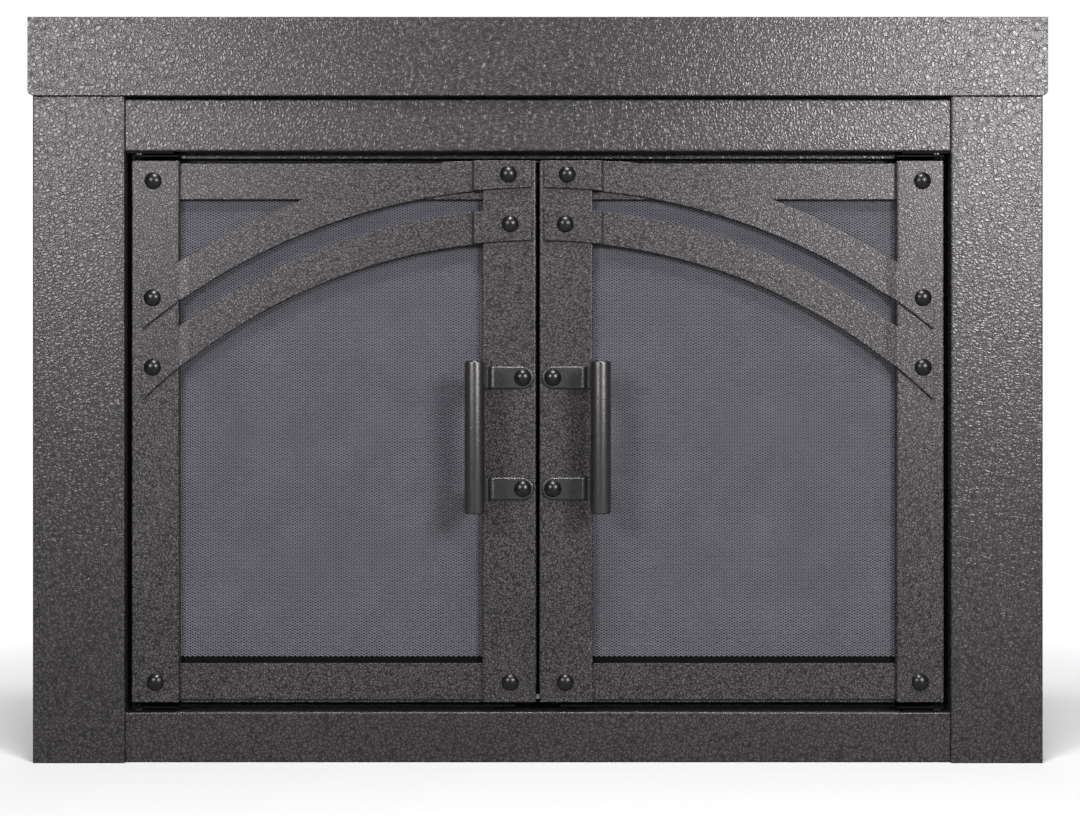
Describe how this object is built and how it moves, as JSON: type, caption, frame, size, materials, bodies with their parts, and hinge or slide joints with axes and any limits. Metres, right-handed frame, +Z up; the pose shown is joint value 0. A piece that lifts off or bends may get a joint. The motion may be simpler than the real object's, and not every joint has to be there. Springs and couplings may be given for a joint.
{
  "type": "fireplace glass door",
  "caption": "Sheet-metal fireplace surround with hinged arched mesh screen doors, tube handles and bi-fold glass doors in a top track.",
  "frame": {"origin": "centre of the opening's width and of the posts' depth, on the hearth", "axes": "+X along the opening to the right, front towards -Y, +Z up from the hearth"},
  "size_m": [1.105, 0.1457, 0.809],
  "materials": {
    "hammered_coat": "gunmetal hammered powder coat, satin",
    "speckled_coat": "charcoal fine-textured powder coat, satin",
    "mesh_coat": "dark grey coat on expanded mesh",
    "black_coat": "black heat-resistant coat, matt",
    "black_oxide": "black oxide steel, semi-gloss",
    "zinc": "zinc plated steel",
    "smoked_glass": "smoked tempered glass"
  },
  "bodies": {
    "frame": {"header_cap": "hammered_coat", "left_post": "hammered_coat", "right_post": "hammered_coat", "upper_rail": "hammered_coat", "lower_rail": "hammered_coat", "corner_brackets": "black_coat", "header_brackets": "black_coat", "frame_screws": "zinc", "floor_brackets": "black_coat", "lintel_clamps": "black_coat", "clamp_screws": "zinc", "frame_hinge_plates": "black_coat", "hinge_washers": "zinc", "catch_bracket": "black_coat", "catch_magnet": "zinc", "glass_track": "hammered_coat", "pivot_sockets": "black_coat"},
    "left_screen_door": {"left_outer_stile": "speckled_coat", "left_inner_stile": "speckled_coat", "left_top_rail": "speckled_coat", "left_bottom_rail": "speckled_coat", "left_upper_arch_bar": "speckled_coat", "left_lower_arch_bar": "speckled_coat", "left_mesh_panel": "mesh_coat", "left_mesh_strips": "black_coat", "left_dome_bolts": "black_oxide", "left_handle_tube": "speckled_coat", "left_handle_caps": "speckled_coat", "left_handle_straps": "speckled_coat", "left_strike_plate": "zinc", "left_hinge_tabs": "black_coat"},
    "left_outer_leaf": {"left_outer_glass": "smoked_glass", "left_pivot_clamps": "black_coat", "left_outer_fold_hinges": "black_coat"},
    "left_inner_leaf": {"left_inner_glass": "smoked_glass", "left_inner_fold_hinges": "black_coat", "left_guide_clamp": "black_coat", "left_glass_knob": "black_oxide"},
    "right_screen_door": {"right_outer_stile": "speckled_coat", "right_inner_stile": "speckled_coat", "right_top_rail": "speckled_coat", "right_bottom_rail": "speckled_coat", "right_upper_arch_bar": "speckled_coat", "right_lower_arch_bar": "speckled_coat", "right_mesh_panel": "mesh_coat", "right_mesh_strips": "black_coat", "right_dome_bolts": "black_oxide", "right_handle_tube": "speckled_coat", "right_handle_caps": "speckled_coat", "right_handle_straps": "speckled_coat", "right_strike_plate": "zinc", "right_hinge_tabs": "black_coat"},
    "right_outer_leaf": {"right_outer_glass": "smoked_glass", "right_pivot_clamps": "black_coat", "right_outer_fold_hinges": "black_coat"},
    "right_inner_leaf": {"right_inner_glass": "smoked_glass", "right_inner_fold_hinges": "black_coat", "right_guide_clamp": "black_coat", "right_glass_knob": "black_oxide"}
  },
  "joints": [
    {"name": "left_screen_swing", "type": "hinge", "parent": "frame", "child": "left_screen_door", "pos_m": [-0.4345, -0.017, 0.059], "axis": [0, 0, -1], "range_deg": [0, 95]},
    {"name": "left_glass_pivot", "type": "hinge", "parent": "frame", "child": "left_outer_leaf", "pos_m": [-0.412, 0.0105, 0.0615], "axis": [0, 0, -1], "range_deg": [0, 85.5]},
    {"name": "left_glass_fold", "type": "hinge", "parent": "left_outer_leaf", "child": "left_inner_leaf", "pos_m": [-0.22275, 0.0181, 0.154], "axis": [0, 0, 1], "range_deg": [0, 171]},
    {"name": "right_screen_swing", "type": "hinge", "parent": "frame", "child": "right_screen_door", "pos_m": [0.4345, -0.017, 0.059], "axis": [0, 0, 1], "range_deg": [0, 95]},
    {"name": "right_glass_pivot", "type": "hinge", "parent": "frame", "child": "right_outer_leaf", "pos_m": [0.412, 0.0105, 0.0615], "axis": [0, 0, 1], "range_deg": [0, 85.5]},
    {"name": "right_glass_fold", "type": "hinge", "parent": "right_outer_leaf", "child": "right_inner_leaf", "pos_m": [0.22275, 0.0181, 0.154], "axis": [0, 0, -1], "range_deg": [0, 171]}
  ],
  "couplings": [
    {"joint": "left_glass_pivot", "follows": "left_screen_swing", "ratio": 0.9},
    {"joint": "left_glass_fold", "follows": "left_screen_swing", "ratio": 1.8},
    {"joint": "right_glass_pivot", "follows": "right_screen_swing", "ratio": 0.9},
    {"joint": "right_glass_fold", "follows": "right_screen_swing", "ratio": 1.8}
  ]
}
